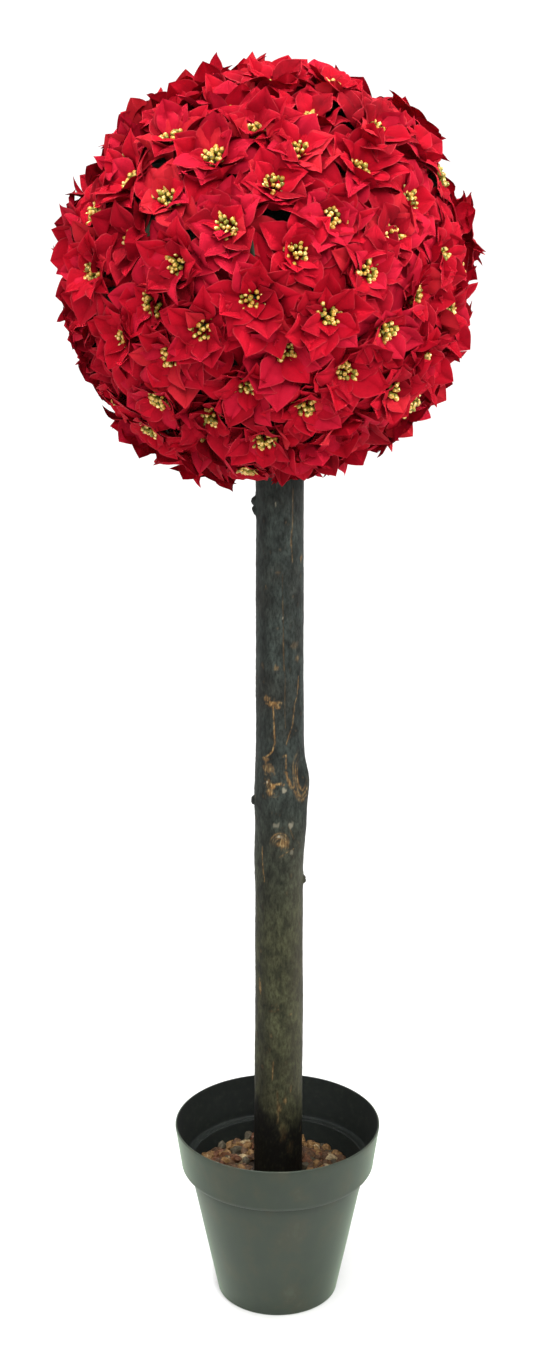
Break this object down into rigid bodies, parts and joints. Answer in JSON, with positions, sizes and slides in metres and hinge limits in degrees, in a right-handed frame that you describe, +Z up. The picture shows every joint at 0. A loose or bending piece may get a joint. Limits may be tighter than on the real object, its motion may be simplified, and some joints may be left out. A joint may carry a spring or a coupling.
{
  "type": "artificial poinsettia lollipop topiary",
  "caption": "Artificial standard topiary: a ball of red fabric poinsettia heads on a natural log, cemented in a round plastic pot under gravel.",
  "frame": {"origin": "centre of the pot's flat underside", "axes": "+Z up along the log, front towards -Y"},
  "size_m": [0.4761, 0.4623, 1.4967],
  "materials": {
    "pot_plastic": "moulded, matte, dark grey-green",
    "cement": "cast cement, rough",
    "flint_gravel": "broken flint gravel, brown, tan and orange",
    "log_bark": "smooth dark grey bark on a natural log",
    "flower_cloth": "pressed red polyester cloth"
  },
  "bodies": {
    "root": {"pot": "pot_plastic", "pot_filling": "cement", "gravel": "flint_gravel", "trunk": "log_bark", "flower_ball": "flower_cloth"}
  },
  "joints": []
}
